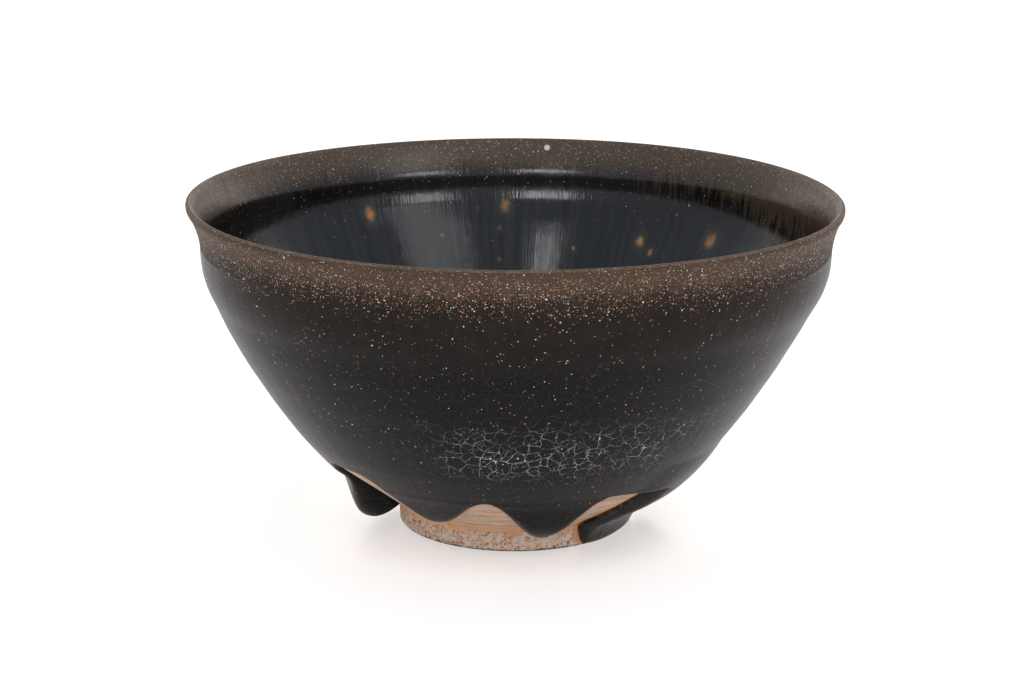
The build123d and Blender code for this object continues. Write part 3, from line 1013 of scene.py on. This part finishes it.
def bare_clay(name):
    """Pinkish tan stoneware: trimming lines under the bowl, a mottled foot ring with a burnt lower edge, and
    orange where the glaze ends."""
    m = Paint(name)
    x, y, _ = m.node("ShaderNodeSeparateXYZ", Vector=m.around).outputs
    round_x, round_y = (m.math("MULTIPLY", value, 0.03) for value in (x, y))
    stretched = m.node("ShaderNodeCombineXYZ", X=round_x, Y=round_y, Z=m.z).outputs[0]
    lines = m.noise(0.42, 51, 3.0, 0.65, stretched)
    colour = m.mix(m.step(m.noise(3.5, 52, 3.0), 0.35, 0.65), CLAY_TAN, CLAY_PINK)
    colour = m.mix(m.step(lines, 0.42, 0.62, 0.0, 0.6), colour, CLAY_PALE)
    colour = m.mix(m.step(lines, 0.32, 0.43, 0.75, 0.0), colour, CLAY_LINE)
    ring = m.step(m.z, FOOT_Z - 0.9, FOOT_Z - 0.1, 1.0, 0.0)
    white = m.both(ring, m.step(m.noise(0.9, 53, 3.0, 0.6), 0.42, 0.58))
    colour = m.mix(m.both(white, 0.85), colour, RING_WHITE)
    rust = m.both(ring, m.step(m.noise(1.3, 54, 3.0), 0.55, 0.67))
    colour = m.mix(m.both(rust, 0.85), colour, RING_RUST)
    shelf = m.band(m.z, FOOT_Z - 1.0, FOOT_Z + 0.9, 0.5)
    colour = m.mix(m.both(shelf, m.step(m.noise(2.6, 55, 3.0), 0.36, 0.58), 0.85), colour, RING_ORANGE)
    where = m.math("MAXIMUM", ring, m.step(m.noise(3.0, 58), 0.5, 0.7, 0.1, 0.6))
    for grit in CLAY_GRIT:
        mask, tint = m.specks(*grit)
        dark = m.mix(m.step(tint, 0.3, 0.7), GRIT_BLACK, GRIT_RED)
        colour = m.mix(m.both(mask, where, 0.9), colour, dark)
    low = m.math("ADD", m.z, m.swing(m.noise(1.1, 59, 4.0, 0.6), 2.4))
    colour = m.mix(m.step(low, 0.15, 0.75, 0.95, 0.0), colour, BURNT_BLACK)
    near = m.math("ADD", m.point_number("edge"), m.swing(m.noise(0.9, 60, 3.0), 0.9))
    colour = m.mix(m.step(near, 0.2, 1.5, 0.85, 0.0), colour, EDGE_ORANGE)
    colour = m.mix(m.step(near, -0.15, 0.10, 0.8, 0.0), colour, EDGE_BROWN)
    coarse = m.both(m.noise(0.6, 61, 3.0), m.step(ring, 0.0, 1.0, 0.06, 0.22))
    height = m.math("ADD", coarse, m.both(lines, m.step(ring, 0.0, 1.0, 0.14, 0.03)))
    return m.finish(colour, 0.82, height, 0.25)


def pale_floor(name):
    """A white table lit from within, polished under the bowl and duller further out, with painted shade: its
    colour is near black under the bowl and turns white further out.
    """
    m = Paint(name)
    squares = [m.math("POWER", value, 2.0) for value in (m.x, m.y)]
    apart = m.math("SQRT", m.math("ADD", *squares))
    clouded = m.math("ADD", apart, m.both(m.noise(30.0, 71, 2.0), 4.0))
    # painted shade: the share of white runs from 0.06 under the bowl to 0.82 from 19 to 43 mm out
    painted_shade_fade = m.step(clouded, 19.0, 43.0, 0.06, 0.82)
    m.put(m.shader.inputs["Base Color"], m.mix(painted_shade_fade, (0.0, 0.0, 0.0), FLOOR_PAINT))
    m.put(m.shader.inputs["Roughness"], m.step(clouded, 22.0, 62.0, 0.14, 0.75))
    m.shader.inputs["Specular IOR Level"].default_value = 0.5
    m.shader.inputs["Emission Color"].default_value = FLOOR_LIGHT
    m.shader.inputs["Emission Strength"].default_value = FLOOR_STRENGTH
    return m.material


coat.data.materials.append(outside_glaze("outside_glaze"))
run.data.materials.append(run_glaze("run_glaze"))
lip.data.materials.append(lip_glaze("lip_glaze"))
lip.data.materials.append(inside_glaze("lip_glaze_inside"))
well.data.materials.append(inside_glaze("inside_glaze"))
clay.data.materials.append(bare_clay("bare_clay"))

# ---- floor, light and camera ----

bpy.ops.mesh.primitive_plane_add(size=40)
floor = bpy.context.object
floor.name = "floor"
floor.data.materials.append(pale_floor("floor"))

SKY_BACK = (1.28, 1.19, 1.14, 1)
SKY_FRONT = (0.48, 0.51, 0.56, 1)  # dimmer in front, which the wall inside reflects
SKY_STRENGTH = 1.05

world = bpy.data.worlds.new("studio")
bpy.context.scene.world = world
world.use_nodes = True
sky = world.node_tree
aim = sky.nodes.new("ShaderNodeTexCoord").outputs["Generated"]
split = sky.nodes.new("ShaderNodeSeparateXYZ")
sky.links.new(aim, split.inputs[0])


def sky_step(value, low, high):
    """An S-curve from 0 at low to 1 at high over the sky."""
    made = sky.nodes.new("ShaderNodeMapRange")
    made.interpolation_type = "SMOOTHSTEP"
    made.inputs["From Min"].default_value = low
    made.inputs["From Max"].default_value = high
    sky.links.new(value, made.inputs["Value"])
    return made.outputs[0]


toward_front = sky.nodes.new("ShaderNodeMath")
toward_front.operation = "MULTIPLY"
sky.links.new(sky_step(split.outputs["Y"], 0.85, 0.20), toward_front.inputs[0])
sky.links.new(sky_step(split.outputs["Z"], 0.0, 0.06), toward_front.inputs[1])
shade = sky.nodes.new("ShaderNodeMix")
shade.data_type = "RGBA"
sky.links.new(toward_front.outputs[0], shade.inputs[0])
shade.inputs[6].default_value = SKY_BACK
shade.inputs[7].default_value = SKY_FRONT
sky.links.new(shade.outputs[2], sky.nodes["Background"].inputs[0])
sky.nodes["Background"].inputs[1].default_value = SKY_STRENGTH


def softbox(name, place, aim_at, width, height, power):
    """A rectangular soft light, aimed at a point; places are in mm."""
    lamp = bpy.data.lights.new(name, "AREA")
    lamp.shape = "RECTANGLE"
    lamp.size = width * MM
    lamp.size_y = height * MM
    lamp.energy = power
    holder = bpy.data.objects.new(name, lamp)
    bpy.context.scene.collection.objects.link(holder)
    holder.location = Vector(place) * MM
    holder.rotation_euler = (Vector(aim_at) - Vector(place)).to_track_quat("-Z", "Y").to_euler()


softbox("window", (683, -683, 925), (0, 0, 55), 520, 780, 1.7)
softbox("window_sill", (630, -806, 368), (0, 0, 55), 340, 230, 1.1)
softbox("lamp", (-210, -978, 368), (0, 0, 55), 330, 200, 1.4)
softbox("lamp_top", (-239, -656, 1136), (0, 0, 40), 150, 140, 0.30)

# The photograph's viewing angle, in degrees, with the camera's place in mm.
PITCH = 14.61
ROLL = -0.26
CAMERA_PLACE = (-0.38, -514.2, 169.0)
camera_data = bpy.data.cameras.new("camera")
camera_data.lens = 97.9
camera_data.sensor_width = 36
camera = bpy.data.objects.new("camera", camera_data)
bpy.context.scene.collection.objects.link(camera)
camera.matrix_world = (
    Matrix.Translation(Vector(CAMERA_PLACE) * MM)
    @ Matrix.Rotation(radians(90 - PITCH), 4, "X")
    @ Matrix.Rotation(radians(-ROLL), 4, "Z")
)
bpy.context.scene.camera = camera
bpy.context.scene.view_settings.view_transform = "Standard"
